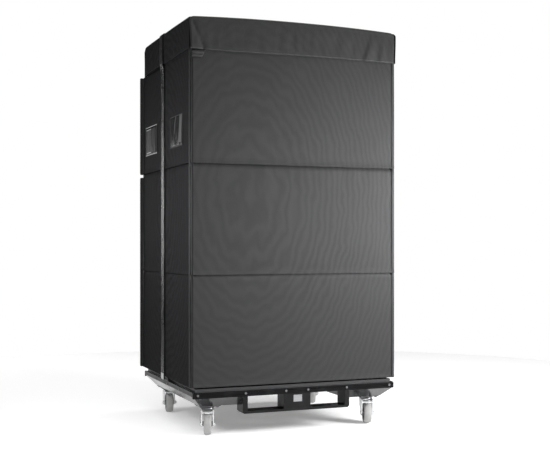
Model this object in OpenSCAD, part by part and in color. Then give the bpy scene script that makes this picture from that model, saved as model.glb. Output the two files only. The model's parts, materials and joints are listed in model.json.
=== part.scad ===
// Line array transport stack: three loudspeaker cabinets and their flying frame
// on a fork-pocket cart, under a fitted fabric cover. Millimetres, floor at z = 0,
// +X right along the wide face, front towards -Y, +Z up.

/* [Cover] */
// How far the cover walls stand outside the side rails
cover_ease_x = 3; // [0:0.5:12]
// How far the cover walls stand outside the fascia rails
cover_ease_y = -0.5; // [-2:0.5:10]
// Padded wall thickness
cover_t = 10; // [4:1:14]
// Height of the lower hem above the deck board
hem_rise = 7; // [4:0.5:30]
// Height of the shoulder and of the lid flaps' lower edge above the top cabinet
shoulder_rise = 9.5; // [2:0.5:30]
// Room between the flying frame and the lid
head_room = 0.5; // [0.5:0.5:40]
// Thickness of a flap of the lid
flap_t = 9.5; // [3:0.5:14]
// How far the lid ends in front of the rear wall
lid_set = 63.5; // [40:0.5:76]
// How far the closure flaps lap past the side walls
closure_lap = 16; // [0:1:40]
// Thickness of the closure flaps
closure_t = 10; // [4:1:20]
// Gap between the two closure flaps
closure_gap = 14; // [4:1:40]

/* [Strap] */
// Width of the lid strap
strap_w = 55; // [25:1:80]
// Thickness of the lid strap
strap_t = 3.5; // [1.5:0.5:6]
// Distance of the strap behind the middle of the cover
strap_y = 28; // [-60:1:60]

/* [Cart] */
// Width of the cart over its side rails
cart_w = 1022; // [930:1:1300]
// Depth of the cart over its fascia rails
cart_d = 868; // [820:1:1050]
// Sideways place of the cart under the cover
cart_x = 5; // [-5:1:5]
// Inward run of the sloped pan sides
slope_run = 50; // [30:1:70]
// Rise from the castor seats to the fascia rails
slope_rise = 43; // [30:1:60]
// Height of a fascia rail
fascia_h = 26; // [22:1:40]
// Sheet thickness of the pan
sheet = 3; // [2:0.5:5]
// Thickness of the deck board
deck_t = 18; // [12:1:24]
// Distance of the deck edge inside the side rails
deck_inset = 18; // [12:1:40]

/* [Fork guides] */
// Width over the two fork pockets
guide_w = 542; // [480:1:580]
// Width of the plate between the pockets
guide_mid = 136; // [80:1:200]
// Width of the posts outside the pockets
guide_post = 25; // [15:1:40]
// Length of a guide along the fork
guide_len = 81; // [50:1:140]
// Underside of the guides above the floor
guide_z = 94.5; // [80:0.5:110]
// Height of the sill below the pockets
sill_h = 11.5; // [8:0.5:16]
// Plate thickness of the guides
guide_t = 4; // [3:0.5:6]

/* [Castors] */
// Radius of the wheel over the tyre
wheel_r = 50; // [46:1:62]
// Width of the tyre
wheel_w = 36; // [32:1:42]
// Distance from the swivel axis back to the axle
trail = 40; // [30:1:50]
// Rest angle of the front and rear right castors
turn = 18; // [0:1:45]
// Rest angle of the rear left castor
turn_rl = 10; // [0:1:45]

/* [Cabinets] */
// Room between a cabinet and the outside of a side rail
side_space = 41; // [38:1:90]
// Room between a cabinet and the outside of a fascia rail
end_space = 29; // [20:1:60]
// Vertical pitch of the stack
pitch = 508; // [420:1:620]
// Gap between the fronts of two cabinets
cab_gap = 12; // [4:1:20]
// Slope of a cabinet's top and bottom from front to rear
cab_taper = 28; // [0:1:40]
// Panel thickness of a cabinet
ply = 18; // [12:1:24]
// Radius of a woofer hole
woofer_r = 142; // [110:1:150]
// Width of a woofer's flange round its hole
woofer_rim = 15; // [8:1:20]
// Gap between a woofer and the horn
woofer_gap = 12; // [4:1:20]
// Width of the horn mouth
horn_w = 164; // [120:1:180]

/* [Flying frame] */
// Height of the side plates of the frame
frame_h = 88; // [84:1:110]
// How far the spine rises above the side plates
spine_rise = 47; // [20:1:60]
// Height of the spine of the frame
spine_h = 96; // [70:1:110]
// Radius of a pick-up hole
pickup_r = 11; // [8:0.5:14]
// Number of pick-up holes
pickup_n = 7; // [3:1:8]

/* [Hidden] */
$fn = 64;
eps = 0.5;
run_fit = 0.05;
face_gap = 0.5;
seam_gap = 0.2;

hcw = cart_w / 2;
hcd = cart_d / 2;
hw = hcw + cover_ease_x;
hd = hcd + cover_ease_y;
lid_rear = hd - lid_set;

rail_t = 8;
side_t = 6;
shelf_w = 30;
shelf_t = 6;
ledge_w = 32;
ledge_t = 4;
pan_z = 2 * wheel_r + 32;
fascia_z = pan_z + slope_rise;
deck_z = fascia_z + fascia_h;
side_z = fascia_z + 9;
side_h = deck_z + 3 - side_z;
deck_top = deck_z + deck_t;
cover_z = deck_top + hem_rise;
guide_hw = guide_w / 2;
pocket_w = guide_hw - guide_mid / 2 - guide_post;
bolt_xs = [-hcw + 24, -guide_hw + 14, -guide_mid / 2 + 12, guide_mid / 2 - 12, guide_hw - 14, hcw - 24];
side_ys = [-211, 0, 211];
bolt_r = 3;
bolt_hole = 3.2;
bolt_z = fascia_z + 15;
side_bolt_z = side_z + 7.5;
member_ys = [-hcd + 134, -110, 110, hcd - 134];
member_w = 40;

castor_plate = [100, 84, 5];
swivel_x = hcw - slope_run - castor_plate[0] / 2 - 2;
swivel_y = hcd - slope_run - castor_plate[1] / 2 - 8;
castor_bolt = [39, 31];
castor_bolt_r = 4;
castor_bolt_hole = 4.2;
race_z = pan_z - castor_plate[2];
race_h = 5.5;
dish_z = pan_z - 15;
crown_z = pan_z - 20;
crown_t = 5;
king_r = 6;
fork_in = 24;
leg_t = 5;
fork_out = fork_in + leg_t;
axle_r = 5;
hub_r = 32;
hub_w = 47;
pivot_y = -trail - 6;
pivot_z = crown_z - 3;
pivot_r = 3;

cab_z0 = deck_top + 8.5;
hcab = hcw - side_space;
y_front = -hcd + end_space;
y_rear = hcd - end_space;
cab_h = pitch - cab_gap;
cab_rear_h = cab_h - 2 * cab_taper;
horn_half = cab_h / 2 - ply - 15;
woofer_x = horn_w / 2 + 8 + woofer_gap + woofer_r + woofer_rim;
rig_t = 10;
link_t = 8;
rig_w = 60;
rig_ys = [y_front + 65, y_rear - 135];
rig_lo = 40;
rig_hi = pitch - rig_lo;
pin_r = 6;
baffle_in = 30;
frame_z = cab_z0 + 3 * pitch + 6;
frame_y0 = y_front + 10;
frame_y1 = y_rear - 70;
hole_y0 = frame_y0 + 185;
hole_pitch = (frame_y1 - 175 - hole_y0) / 3;
spine_top = frame_z + frame_h + spine_rise;
spine_z = spine_top - spine_h;
pickup_z = spine_top - 29.5;
pickup_pitch = (frame_y1 - frame_y0 - 240) / (pickup_n - 1);
wall_top = spine_top + head_room;
lid_top = wall_top + cover_t;
shoulder_z = cab_z0 + 2.5 * pitch + cab_h / 2 + shoulder_rise;
closure_split = cab_z0 + 2 * pitch - 2.5;

black = [0.06, 0.06, 0.065];
cloth = [0.1, 0.1, 0.11];
web = [0.2, 0.2, 0.21];
zinc = [0.72, 0.73, 0.75];
grey = [0.5, 0.5, 0.5];
wood = [0.3, 0.24, 0.17];

// ---------- helpers ----------
// box from its two corners
module box(a, b) translate(a) cube([b[0] - a[0], b[1] - a[1], b[2] - a[2]]);
// profile drawn in Y and Z, extruded along X from x0 to x1
module along_x(x0, x1) translate([x0, 0, 0]) rotate([90, 0, 90]) linear_extrude(x1 - x0) children();
// profile drawn in X and Z, extruded along Y from y0 to y1
module along_y(y0, y1) translate([0, y1, 0]) rotate([90, 0, 0]) linear_extrude(y1 - y0) children();
// rod along X
module rod_x(r, x0, x1) translate([x0, 0, 0]) rotate([0, 90, 0]) cylinder(r = r, h = x1 - x0);
// rod along Y
module rod_y(r, y0, y1) translate([0, y1, 0]) rotate([90, 0, 0]) cylinder(r = r, h = y1 - y0);
// both sides of the plane x = 0
module both_x() { children(); mirror([1, 0, 0]) children(); }
// both sides of the plane y = 0
module both_y() { children(); mirror([0, 1, 0]) children(); }
module on_cart() translate([cart_x, 0, 0]) children();

// ---------- cart ----------
module pan_solid(t) {
  intersection() {
    along_x(-hcw + t, hcw - t) polygon([[-hcd + t, fascia_z], [-hcd + slope_run + t, pan_z + t],
      [hcd - slope_run - t, pan_z + t], [hcd - t, fascia_z], [hcd - rail_t - t, fascia_z],
      [hcd - rail_t - t, side_z + t], [-hcd + rail_t + t, side_z + t], [-hcd + rail_t + t, fascia_z]]);
    along_y(-hcd, hcd) polygon([[-hcw + t, side_z + t], [-hcw + t, side_z],
      [-hcw + slope_run + t, pan_z + t], [hcw - slope_run - t, pan_z + t],
      [hcw - t, side_z], [hcw - t, side_z + t]]);
  }
}
module chassis_pan() color(black) on_cart() difference() {
  pan_solid(0);
  difference() {
    pan_solid(sheet);
    box([-guide_hw - sheet, -hcd, 0], [guide_hw + sheet, hcd, side_z + 2 * sheet]);
  }
  box([-guide_hw, -hcd - 1, 0], [guide_hw, hcd + 1, side_z + 2 * sheet]);
  box([-hcw + side_t + shelf_w, -hcd - 1, fascia_z], [hcw - side_t - shelf_w, hcd + 1, side_z + 2 * sheet]);
  box([-hcw - 1, -hcd - 1, side_z], [hcw + 1, hcd + 1, side_z + 2 * sheet]);
  for (x = [-swivel_x, swivel_x], y = [-swivel_y, swivel_y], i = [-1, 1], j = [-1, 1])
    translate([x + i * castor_bolt[0], y + j * castor_bolt[1], pan_z - 1])
      cylinder(r = castor_bolt_hole, h = sheet + 2);
}
module cross_members() color(black) on_cart() for (y = member_ys) difference() {
  box([-hcw + side_t + shelf_w, y - member_w / 2, fascia_z],
    [hcw - side_t - shelf_w, y + member_w / 2, deck_z]);
  box([-hcw, y - member_w / 2 + sheet, fascia_z + sheet],
    [hcw, y + member_w / 2 - sheet, deck_z - sheet]);
}
module deck_board() color(wood) on_cart()
  box([-hcw + deck_inset, -hcd + rail_t + 1, deck_z], [hcw - deck_inset, hcd - rail_t - 1, deck_top]);
module fascia() difference() {
  union() {
    box([-hcw, -hcd, fascia_z], [hcw, -hcd + rail_t, deck_z]);
    box([-hcw + side_t + shelf_w + 1, -hcd + rail_t, deck_z - ledge_t],
      [hcw - side_t - shelf_w - 1, -hcd + rail_t + ledge_w, deck_z]);
  }
  for (x = bolt_xs) translate([x, 0, bolt_z]) rod_y(bolt_hole, -hcd - 1, -hcd + rail_t + 1);
}
module front_rail() color(black) on_cart() fascia();
module rear_rail() color(black) on_cart() mirror([0, 1, 0]) fascia();
module side_rail() difference() {
  union() {
    box([hcw - side_t, -hcd + rail_t, side_z], [hcw, hcd - rail_t, side_z + side_h]);
    box([hcw - side_t - shelf_w, -hcd + rail_t, deck_z - shelf_t],
      [hcw - side_t, hcd - rail_t, deck_z]);
  }
  for (y = side_ys) translate([0, y, side_bolt_z]) rod_x(bolt_hole, hcw - side_t - 1, hcw + 1);
}
module left_rail() color(black) on_cart() mirror([1, 0, 0]) side_rail();
module right_rail() color(black) on_cart() side_rail();

module fork_guide() {
  y0 = -hcd;
  y1 = -hcd + guide_len;
  pocket0 = guide_mid / 2;
  pocket1 = pocket0 + pocket_w;
  // sill with its turned down edges
  difference() {
    along_y(y0, y1) polygon([[-guide_hw + 8, guide_z], [guide_hw - 8, guide_z],
      [guide_hw, guide_z + 8], [guide_hw, guide_z + sill_h], [-guide_hw, guide_z + sill_h],
      [-guide_hw, guide_z + 8]]);
    box([-guide_hw + 12, y0 + guide_t, guide_z - 1],
      [guide_hw - 12, y1 - guide_t, guide_z + sill_h - guide_t]);
  }
  both_x() {
    // post face and its outer plate
    box([pocket1, y0, guide_z + sill_h], [guide_hw, y0 + guide_t, fascia_z]);
    box([guide_hw - guide_t, y0 + guide_t, guide_z + sill_h], [guide_hw, y1, fascia_z]);
    box([guide_hw - guide_t, y0 + rail_t, fascia_z], [guide_hw, y1, deck_z - ledge_t]);
    // pocket cheeks
    box([pocket1, y0 + guide_t, guide_z + sill_h], [pocket1 + guide_t, y1, fascia_z]);
    box([pocket0 - guide_t, y0 + guide_t, guide_z + sill_h], [pocket0, y1, fascia_z]);
    box([pocket0 - guide_t, y0 + rail_t, fascia_z], [pocket0, y1, deck_z - ledge_t]);
  }
  // plate between the pockets
  box([-pocket0, y0, guide_z + sill_h], [pocket0, y0 + guide_t, fascia_z]);
}
module front_fork_guide() color(black) on_cart() fork_guide();
module rear_fork_guide() color(black) on_cart() mirror([0, 1, 0]) fork_guide();
module identity_plate() color(grey) on_cart()
  box([-18.5, -hcd - 1.5, fascia_z - 38], [24.5, -hcd, fascia_z - 6]);

module button_bolt(len, head_r, head_h) {
  rotate([90, 0, 0]) cylinder(r = head_r, h = head_h);
  rotate([-90, 0, 0]) cylinder(r = bolt_r, h = len);
}
module cart_bolts() color(zinc) on_cart() {
  both_y() for (x = bolt_xs) translate([x, -hcd, bolt_z]) {
    button_bolt(rail_t + 5, 5.5, 3);
    translate([0, rail_t + 5, 0]) rotate([90, 0, 0]) cylinder(r = 5.5, h = 5, $fn = 6);
  }
  both_x() for (y = side_ys) translate([hcw, y, side_bolt_z]) rotate([0, 0, 90]) button_bolt(side_t, 5, 2);
  for (x = [-swivel_x, swivel_x], y = [-swivel_y, swivel_y], i = [-1, 1], j = [-1, 1])
    translate([x + i * castor_bolt[0], y + j * castor_bolt[1], 0]) {
      translate([0, 0, race_z - 5]) cylinder(r = 6.5, h = 5, $fn = 6);
      translate([0, 0, race_z]) cylinder(r = castor_bolt_r, h = castor_plate[2] + sheet + 8);
      translate([0, 0, pan_z + sheet]) cylinder(r = 7, h = 6, $fn = 6);
    }
}
module castor_plate_one() difference() {
  union() {
    translate([-castor_plate[0] / 2, -castor_plate[1] / 2, race_z]) cube(castor_plate);
    translate([0, 0, race_z - race_h]) cylinder(r = 30, h = race_h);
    translate([0, 0, crown_z - 8]) cylinder(r = king_r, h = race_z - crown_z + 8);
    translate([0, 0, crown_z - 8]) cylinder(r = 10, h = 7.5);
  }
  for (i = [-1, 1], j = [-1, 1]) translate([i * castor_bolt[0], j * castor_bolt[1], race_z - 1])
    cylinder(r = castor_bolt_hole, h = castor_plate[2] + 2);
}
module castor_plates() color(zinc) on_cart()
  for (x = [-swivel_x, swivel_x], y = [-swivel_y, swivel_y]) translate([x, y, 0]) castor_plate_one();
module anchor() {
  z0 = side_z + side_h;
  x0 = hcw - side_t - 4;
  y0 = strap_y - strap_w / 2 - 12;
  y1 = strap_y + strap_w / 2 + 12;
  box([x0, y0, z0], [hcw, y1, z0 + 4]);
  for (y = [y0, y1 - 5]) box([x0, y, z0 + 4], [hcw, y + 5, cover_z - 3]);
  translate([x0 + 3.5, 0, z0 + 11]) rod_y(2.5, y0 + 5, y1 - 5);
}
module strap_anchors() color(zinc) on_cart() both_x() anchor();
module stack_brackets() color(black) on_cart() both_x() {
  along_x(hcab - 80, hcab - 30) polygon([[y_front, deck_top], [y_rear, deck_top],
    [y_rear, cab_mid(0) - cab_rear_h / 2], [y_front, cab_mid(0) - cab_h / 2]]);
  for (y = rig_ys) {
    difference() {
      box([hcab, y - rig_w / 2, deck_top], [hcab + rig_t, y + rig_w / 2, deck_top + 26]);
      translate([0, y, deck_top + 14]) rod_x(pin_r + run_fit, hcab - 1, hcab + rig_t + 1);
    }
    box([hcab - 30 + eps, y - rig_w / 2, deck_top], [hcab, y + rig_w / 2, deck_top + 5]);
  }
}

// ---------- castors, drawn with the swivel axis at the origin, wheel towards -Y ----------
module at_fl() translate([cart_x - swivel_x, -swivel_y, 0]) rotate([0, 0, -turn]) children();
module at_fr() translate([cart_x + swivel_x, -swivel_y, 0]) rotate([0, 0, -turn]) children();
module at_rl() translate([cart_x - swivel_x, swivel_y, 0]) rotate([0, 0, -turn_rl]) children();
module at_rr() translate([cart_x + swivel_x, swivel_y, 0]) rotate([0, 0, -turn]) children();

module fork() difference() {
  union() {
    translate([0, 0, dish_z]) cylinder(r = 33, h = 4);
    translate([0, 0, crown_z]) cylinder(r = 31, h = crown_t);
    box([-fork_out, -34, crown_z], [fork_out, 18, crown_z + crown_t]);
    both_x() {
      along_x(fork_in, fork_out) polygon([[22, crown_z + crown_t], [22, crown_z - 28],
        [-trail + 11.5, wheel_r - 6], [-trail, wheel_r - 12.8], [-trail - 11.5, wheel_r - 6],
        [-trail - 20, crown_z - 18], [-trail - 20, crown_z + crown_t]]);
      translate([0, -trail, wheel_r]) rod_x(13, fork_in, fork_out);
    }
  }
  translate([0, 0, crown_z - 1]) cylinder(r = king_r + run_fit, h = 12);
  translate([0, -trail, wheel_r]) rod_x(axle_r + run_fit, -fork_out - 1, fork_out + 1);
  translate([0, pivot_y, pivot_z]) rod_x(pivot_r + run_fit, -fork_out - 1, fork_out + 1);
}
module wheel_ring(r0, profile) translate([0, -trail, wheel_r]) rotate([0, 90, 0])
  rotate_extrude() polygon(profile);
module hub() wheel_ring(0, [[axle_r + run_fit, -hub_w / 2], [12, -hub_w / 2], [12, -13], [15, -9],
  [hub_r - 6, -9], [hub_r - 4, -15], [hub_r, -15], [hub_r, 15], [hub_r - 4, 15], [hub_r - 6, 9],
  [15, 9], [12, 13], [12, hub_w / 2], [axle_r + run_fit, hub_w / 2]]);
module tyre() wheel_ring(0, [[hub_r, -15], [hub_r + 2, -wheel_w / 2], [wheel_r - 5, -wheel_w / 2],
  [wheel_r - 1.5, -wheel_w / 2 + 2], [wheel_r, -wheel_w / 2 + 6], [wheel_r, wheel_w / 2 - 6],
  [wheel_r - 1.5, wheel_w / 2 - 2], [wheel_r - 5, wheel_w / 2], [hub_r + 2, wheel_w / 2], [hub_r, 15]]);
module axle() translate([0, -trail, wheel_r]) {
  rod_x(axle_r, -fork_out, fork_out + 9);
  translate([-fork_out, 0, 0]) rotate([0, -90, 0]) cylinder(r = 9, h = 5, $fn = 6);
  translate([fork_out, 0, 0]) rotate([0, 90, 0]) cylinder(r = 9, h = 6, $fn = 6);
}
module pedal() {
  translate([0, pivot_y, pivot_z]) {
    rod_x(pivot_r, -fork_out - 3, fork_out + 3);
    rod_x(5, -21, 21);
    box([-21, -40, -1.5], [21, -3, 3.5]);
    translate([0, -42, 0.5]) rod_x(4, -23, 23);
    box([-12, -22, -9], [12, -18, -1.5]);
  }
}
module castor_fork_fl() color(zinc) at_fl() fork();
module castor_wheel_fl() color(grey) at_fl() hub();
module castor_tyre_fl() color(grey) at_fl() tyre();
module castor_axle_fl() color(zinc) at_fl() axle();
module brake_pedal_fl() color(zinc) at_fl() pedal();
module castor_fork_fr() color(zinc) at_fr() fork();
module castor_wheel_fr() color(grey) at_fr() hub();
module castor_tyre_fr() color(grey) at_fr() tyre();
module castor_axle_fr() color(zinc) at_fr() axle();
module brake_pedal_fr() color(zinc) at_fr() pedal();
module castor_fork_rl() color(zinc) at_rl() fork();
module castor_wheel_rl() color(grey) at_rl() hub();
module castor_tyre_rl() color(grey) at_rl() tyre();
module castor_axle_rl() color(zinc) at_rl() axle();
module brake_pedal_rl() color(zinc) at_rl() pedal();
module castor_fork_rr() color(zinc) at_rr() fork();
module castor_wheel_rr() color(grey) at_rr() hub();
module castor_tyre_rr() color(grey) at_rr() tyre();
module castor_axle_rr() color(zinc) at_rr() axle();
module brake_pedal_rr() color(zinc) at_rr() pedal();

// ---------- cabinets ----------
function cab_base(k) = cab_z0 + k * pitch;
function cab_mid(k) = cab_base(k) + pitch / 2;
// half the height of a cabinet at a distance y along its depth
function cab_half(y) = cab_h / 2 - cab_taper * (y - y_front) / (y_rear - y_front);
module wedge(dx, y0, y1, inset) along_x(-hcab + dx, hcab - dx) polygon([
  [y0, -cab_half(y0) + inset], [y1, -cab_half(y1) + inset],
  [y1, cab_half(y1) - inset], [y0, cab_half(y0) - inset]]);
module cabinet() difference() {
  wedge(0, y_front, y_rear, 0);
  // mouth in front of the baffle
  wedge(ply, y_front - 1, y_front + baffle_in, ply);
  // inside behind the baffle
  wedge(ply, y_front + baffle_in + ply, y_rear - ply, ply);
  for (x = [-woofer_x, woofer_x]) translate([x, 0, 0])
    rod_y(woofer_r, y_front + baffle_in - 1, y_front + baffle_in + ply + 1);
  box([-horn_w / 2, y_front + baffle_in - 1, -horn_half],
    [horn_w / 2, y_front + baffle_in + ply + 1, horn_half]);
  box([-130, y_rear - ply - 1, -70], [130, y_rear + 1, 70]);
}
module grille() box([-hcab + ply + 2, y_front + 4, -cab_h / 2 + ply + 4],
  [hcab - ply - 2, y_front + 6, cab_h / 2 - ply - 4]);
module rigging() both_x() for (y = rig_ys) difference() {
  box([hcab, y - rig_w / 2, rig_lo - 20 - pitch / 2], [hcab + rig_t, y + rig_w / 2, rig_hi + 20 - pitch / 2]);
  for (z = [rig_lo, rig_hi]) translate([0, y, z - pitch / 2])
    rod_x(pin_r + run_fit, hcab - 1, hcab + rig_t + 1);
  translate([0, y, 0]) rod_x(22, hcab - 1, hcab + rig_t + 1);
}
module woofer() translate([0, y_front + baffle_in, 0]) rotate([90, 0, 0]) {
  r = woofer_r;
  // frame flange on the baffle, rolled surround, cone and dust dome
  rotate_extrude() polygon([[r - 12, 0], [r + woofer_rim, 0], [r + woofer_rim, 5], [r - 12, 5]]);
  rotate_extrude() polygon([[0, -52], [24, -55], [34, -62], [r - 28, -4], [r - 22, 5], [r - 16, 5],
    [r - 12, 0], [r - 12, -8], [r - 20, -10], [38, -74], [0, -74]]);
  // basket and magnet
  rotate_extrude() polygon([[0, -74], [38, -74], [84, -82], [84, -132], [0, -132]]);
  for (a = [0 : 60 : 300]) rotate([0, 0, a]) box([r - 96, -8, -90], [r - 70, 8, -48]);
}
module woofers() both_x() translate([woofer_x, 0, 0]) woofer();
module horn() translate([0, y_front + baffle_in, 0]) {
  difference() {
    union() {
      box([-horn_w / 2 - 8, -6, -horn_half - 8], [horn_w / 2 + 8, 0, horn_half + 8]);
      box([-horn_w / 2, 0, -horn_half], [horn_w / 2, 150, horn_half]);
    }
    translate([0, 0, 10 - horn_half]) linear_extrude(2 * horn_half - 20) polygon([[-horn_w / 2 + 6, -7], [horn_w / 2 - 6, -7],
      [34, 60], [14, 151], [-14, 151], [-34, 60]]);
  }
  // throat plate and the two compression drivers
  box([-60, 150, 15 - horn_half], [60, 160, horn_half - 15]);
  for (z = [-1, 1]) translate([0, 0, z * (horn_half - 15) / 2]) rod_y(70, 160, 230);
}
module rear_panel() {
  difference() {
    box([-145, y_rear, -85], [145, y_rear + 3, 85]);
    for (x = [-60, 0, 60]) translate([x, 0, 20]) rod_y(13, y_rear - 1, y_rear + 4);
  }
  // sockets and the dish behind them
  for (x = [-60, 0, 60]) translate([x, 0, 20]) difference() {
    rod_y(13, y_rear - 26, y_rear + 4);
    rod_y(10, y_rear - 22, y_rear + 5);
  }
  box([-129, y_rear - 30, -69], [129, y_rear - 26, 69]);
  both_x() box([126, y_rear - 26, -69], [129, y_rear, 69]);
}
module cabinet_low() color(black) on_cart() translate([0, 0, cab_mid(0)]) cabinet();
module grille_low() color(black) on_cart() translate([0, 0, cab_mid(0)]) grille();
module rigging_low() color(grey) on_cart() translate([0, 0, cab_mid(0)]) rigging();
module woofers_low() color(black) on_cart() translate([0, 0, cab_mid(0)]) woofers();
module horn_low() color(black) on_cart() translate([0, 0, cab_mid(0)]) horn();
module rear_panel_low() color(grey) on_cart() translate([0, 0, cab_mid(0)]) rear_panel();
module cabinet_mid() color(black) on_cart() translate([0, 0, cab_mid(1)]) cabinet();
module grille_mid() color(black) on_cart() translate([0, 0, cab_mid(1)]) grille();
module rigging_mid() color(grey) on_cart() translate([0, 0, cab_mid(1)]) rigging();
module woofers_mid() color(black) on_cart() translate([0, 0, cab_mid(1)]) woofers();
module horn_mid() color(black) on_cart() translate([0, 0, cab_mid(1)]) horn();
module rear_panel_mid() color(grey) on_cart() translate([0, 0, cab_mid(1)]) rear_panel();
module cabinet_top() color(black) on_cart() translate([0, 0, cab_mid(2)]) cabinet();
module grille_top() color(black) on_cart() translate([0, 0, cab_mid(2)]) grille();
module rigging_top() color(grey) on_cart() translate([0, 0, cab_mid(2)]) rigging();
module woofers_top() color(black) on_cart() translate([0, 0, cab_mid(2)]) woofers();
module horn_top() color(black) on_cart() translate([0, 0, cab_mid(2)]) horn();
module rear_panel_top() color(grey) on_cart() translate([0, 0, cab_mid(2)]) rear_panel();

// ---------- flying frame and links ----------
module flying_frame() color(grey) on_cart() {
  both_x() difference() {
    box([hcab, frame_y0, frame_z], [hcab + rig_t, frame_y1, frame_z + frame_h]);
    for (y = rig_ys) translate([0, y, frame_z + 14]) rod_x(pin_r + run_fit, hcab - 1, hcab + rig_t + 1);
    for (i = [0 : 3]) translate([0, hole_y0 + i * hole_pitch, frame_z + 50])
      rod_x(26, hcab - 1, hcab + rig_t + 1);
  }
  for (y = [frame_y0 + 10, frame_y1 - 70]) difference() {
    box([-hcab, y, frame_z + 8], [hcab, y + 60, frame_z + 68]);
    box([-hcab - 1, y + 4, frame_z + 12], [hcab + 1, y + 56, frame_z + 64]);
  }
  both_x() difference() {
    box([30, frame_y0 + 70, spine_z], [40, frame_y1 - 70, spine_z + spine_h]);
    for (i = [0 : pickup_n - 1]) translate([0, frame_y0 + 120 + i * pickup_pitch, pickup_z])
      rod_x(pickup_r, 29, 41);
  }
  for (y = [frame_y0 + 90, frame_y1 - 90]) translate([0, y, spine_z + 30]) rod_x(10, -30, 30);
}
module link(z0, z1) {
  for (y = rig_ys) {
    along_x(hcab + rig_t, hcab + rig_t + link_t) polygon([[y - 14, z0 - 13], [y + 14, z0 - 13],
      [y + 18, z0 - 6], [y + 18, z1 + 6], [y + 14, z1 + 13], [y - 14, z1 + 13],
      [y - 18, z1 + 6], [y - 18, z0 - 6]]);
    for (z = [z0, z1]) translate([0, y, z]) {
      rod_x(pin_r, hcab + 1, hcab + rig_t);
      rod_x(9, hcab + rig_t + link_t, hcab + rig_t + link_t + 3);
    }
  }
}
module splay_links() color(zinc) on_cart() both_x() {
  link(deck_top + 14, cab_base(0) + rig_lo);
  link(cab_base(0) + rig_hi, cab_base(1) + rig_lo);
  link(cab_base(1) + rig_hi, cab_base(2) + rig_lo);
  link(cab_base(2) + rig_hi, frame_z + 14);
}

// ---------- cover ----------
module cover_front() color(cloth) box([-hw, -hd, cover_z], [hw, -hd + cover_t, wall_top]);
// a side wall and the narrower yoke panel that is sewn to it along the shoulder
module cover_side() {
  box([hw - cover_t, -hd + cover_t, cover_z], [hw, hd - cover_t, shoulder_z]);
  box([hw - cover_t, -hd + cover_t, shoulder_z + seam_gap], [hw, lid_rear - 2 * cover_t, wall_top]);
}
module cover_left() color(cloth) mirror([1, 0, 0]) cover_side();
module cover_right() color(cloth) cover_side();
module cover_rear() color(cloth) {
  box([-hw, hd - cover_t, cover_z], [hw, hd, shoulder_z]);
  box([-hw + cover_t, lid_rear - cover_t, shoulder_z - cover_t], [hw - cover_t, hd - cover_t, shoulder_z]);
  box([-hw + cover_t, lid_rear - 2 * cover_t, shoulder_z - cover_t],
    [hw - cover_t, lid_rear - cover_t, shoulder_z]);
  box([-hw, lid_rear - 2 * cover_t, shoulder_z], [hw, lid_rear - cover_t, wall_top]);
  box([-hw - closure_lap, hd, cover_z], [hw + closure_lap, hd + closure_t, closure_split - closure_gap]);
  box([-hw - closure_lap, hd, closure_split], [hw + closure_lap, hd + closure_t, shoulder_z]);
}
module cover_lid() color(cloth) {
  x1 = hw + face_gap + flap_t;
  y0 = -hd - face_gap - flap_t;
  box([-x1, y0, wall_top], [x1, lid_rear, lid_top]);
  box([-x1, y0, shoulder_z], [x1, -hd - face_gap, wall_top]);
  both_x() box([hw + face_gap, -hd - face_gap, shoulder_z + 1], [x1, lid_rear, wall_top]);
  box([-hw - face_gap, lid_rear - flap_t, shoulder_z + 1], [hw + face_gap, lid_rear, wall_top]);
}
module lid_strap() color(web) translate([0, strap_y + strap_w / 2, 0]) rotate([90, 0, 0])
  linear_extrude(strap_w) {
    x0 = hw + face_gap;
    x1 = hw + face_gap + flap_t;
    translate([-x1 - strap_t, lid_top]) square([2 * x1 + 2 * strap_t, strap_t]);
    for (s = [0, 1]) mirror([s, 0]) {
      translate([x1, shoulder_z - strap_t - 1]) square([strap_t, lid_top - shoulder_z + strap_t + 1]);
      translate([x0, shoulder_z - strap_t - 1]) square([x1 - x0, strap_t]);
      translate([x0, side_z + side_h + 4]) square([strap_t, shoulder_z - 2 * strap_t - side_z - side_h]);
    }
  }

chassis_pan();
cross_members();
deck_board();
front_rail();
rear_rail();
left_rail();
right_rail();
front_fork_guide();
rear_fork_guide();
identity_plate();
cart_bolts();
castor_plates();
strap_anchors();
stack_brackets();
castor_fork_fl();
castor_wheel_fl();
castor_tyre_fl();
castor_axle_fl();
brake_pedal_fl();
castor_fork_fr();
castor_wheel_fr();
castor_tyre_fr();
castor_axle_fr();
brake_pedal_fr();
castor_fork_rl();
castor_wheel_rl();
castor_tyre_rl();
castor_axle_rl();
brake_pedal_rl();
castor_fork_rr();
castor_wheel_rr();
castor_tyre_rr();
castor_axle_rr();
brake_pedal_rr();
cabinet_low();
grille_low();
rigging_low();
woofers_low();
horn_low();
rear_panel_low();
cabinet_mid();
grille_mid();
rigging_mid();
woofers_mid();
horn_mid();
rear_panel_mid();
cabinet_top();
grille_top();
rigging_top();
woofers_top();
horn_top();
rear_panel_top();
flying_frame();
splay_links();
cover_front();
cover_rear();
cover_left();
cover_right();
cover_lid();
lid_strap();
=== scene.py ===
import json
import math

import bmesh
import bpy
from mathutils import Matrix, Vector, noise


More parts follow.
